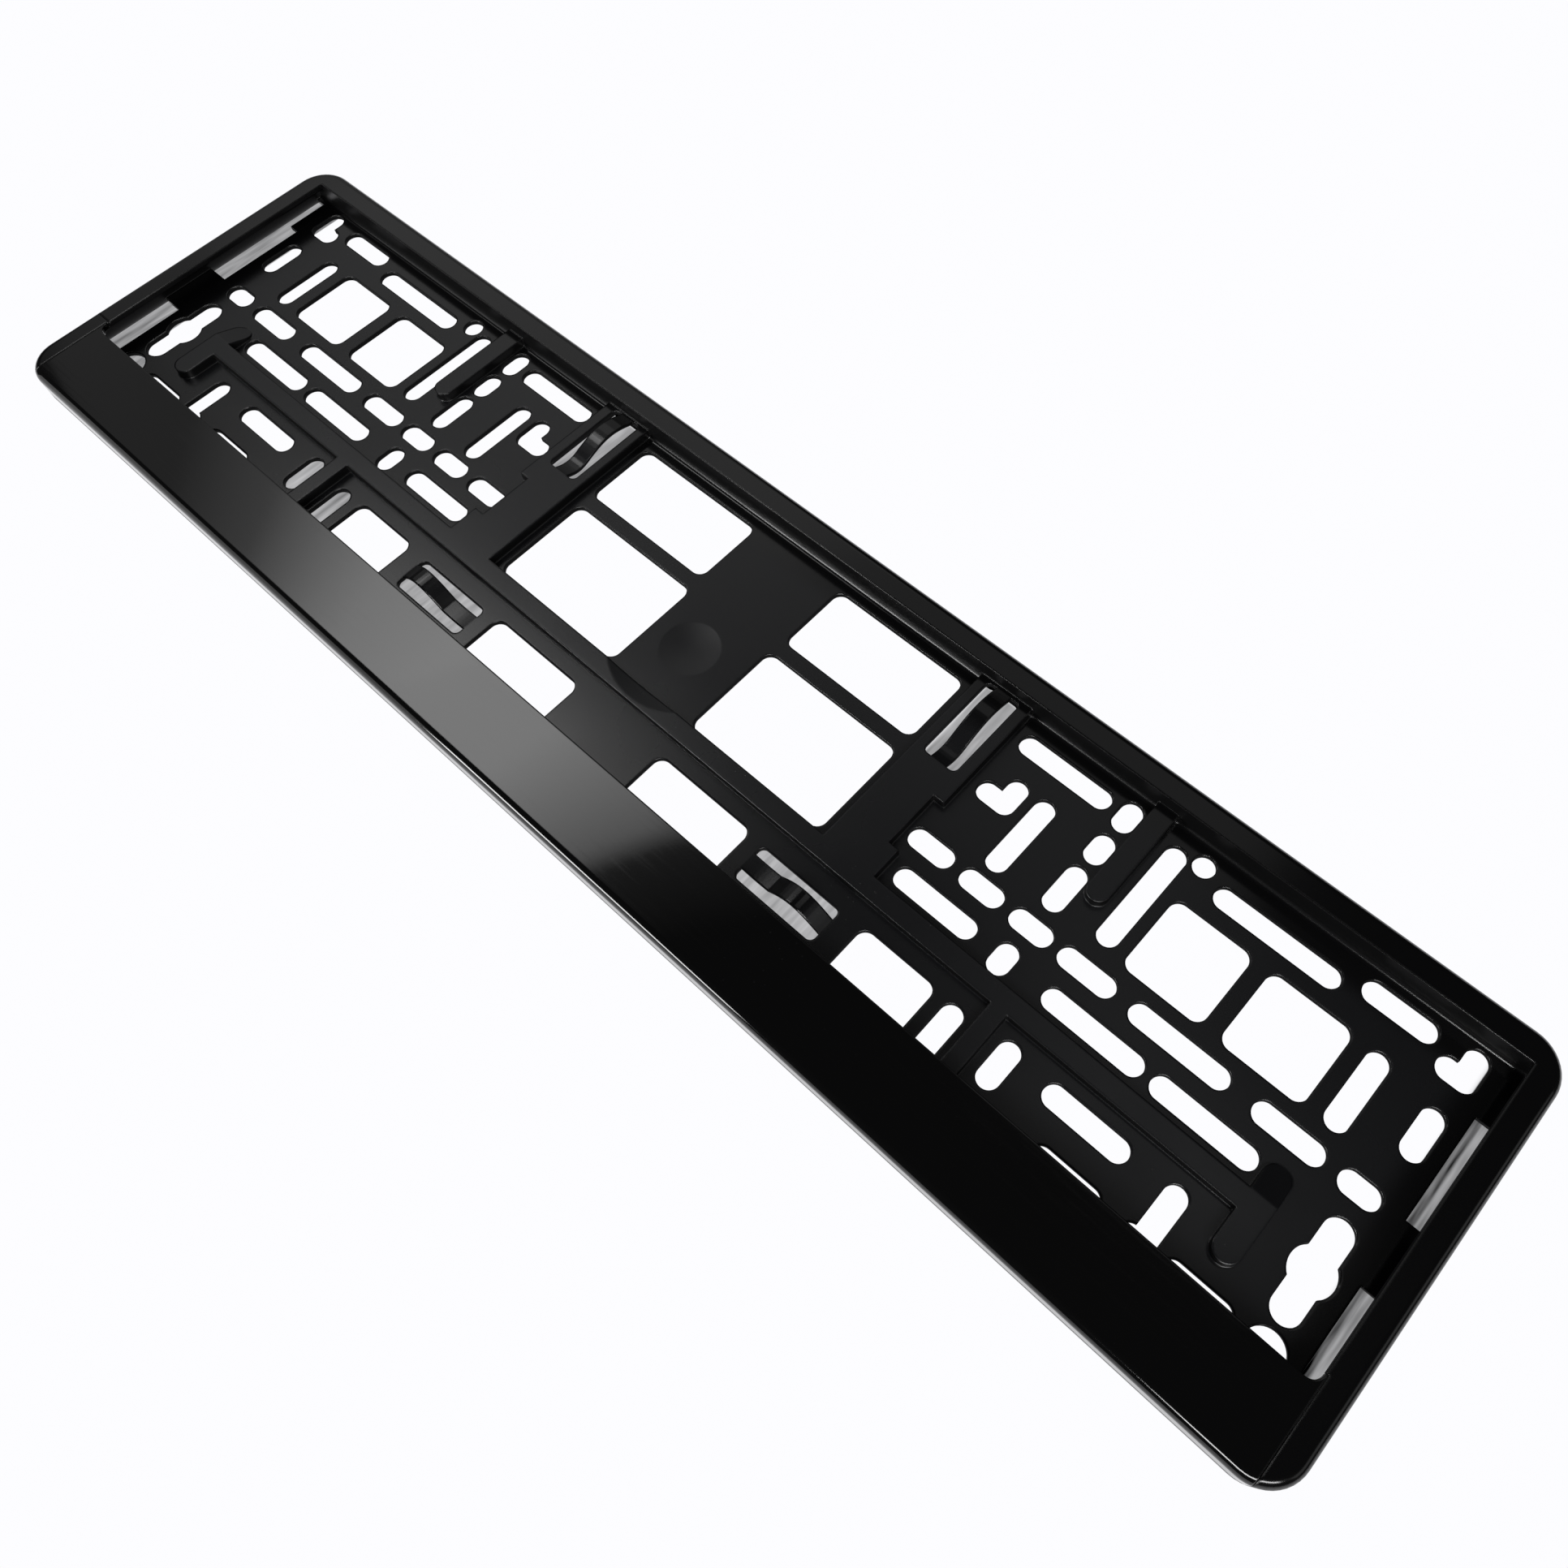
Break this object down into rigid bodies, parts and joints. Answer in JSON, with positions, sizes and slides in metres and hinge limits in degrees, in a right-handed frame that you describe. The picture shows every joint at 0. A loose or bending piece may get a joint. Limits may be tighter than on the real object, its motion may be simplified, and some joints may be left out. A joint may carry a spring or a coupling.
{
  "type": "number plate holder",
  "caption": "Shallow black frame with a perforated, ribbed floor and a wide glossy lower strip that holds a car number plate.",
  "frame": {"origin": "middle of the outline, on the plane of the back", "axes": "+X along the plate to the right seen from the front, +Y from the lower strip to the top rim, +Z out of the front"},
  "size_m": [0.5312, 0.1354, 0.0104],
  "materials": {
    "base_plastic": "satin to glossy black moulding",
    "strip_plastic": "polished black moulding"
  },
  "bodies": {
    "root": {"base_frame": "base_plastic", "lower_strip": "strip_plastic"}
  },
  "joints": []
}
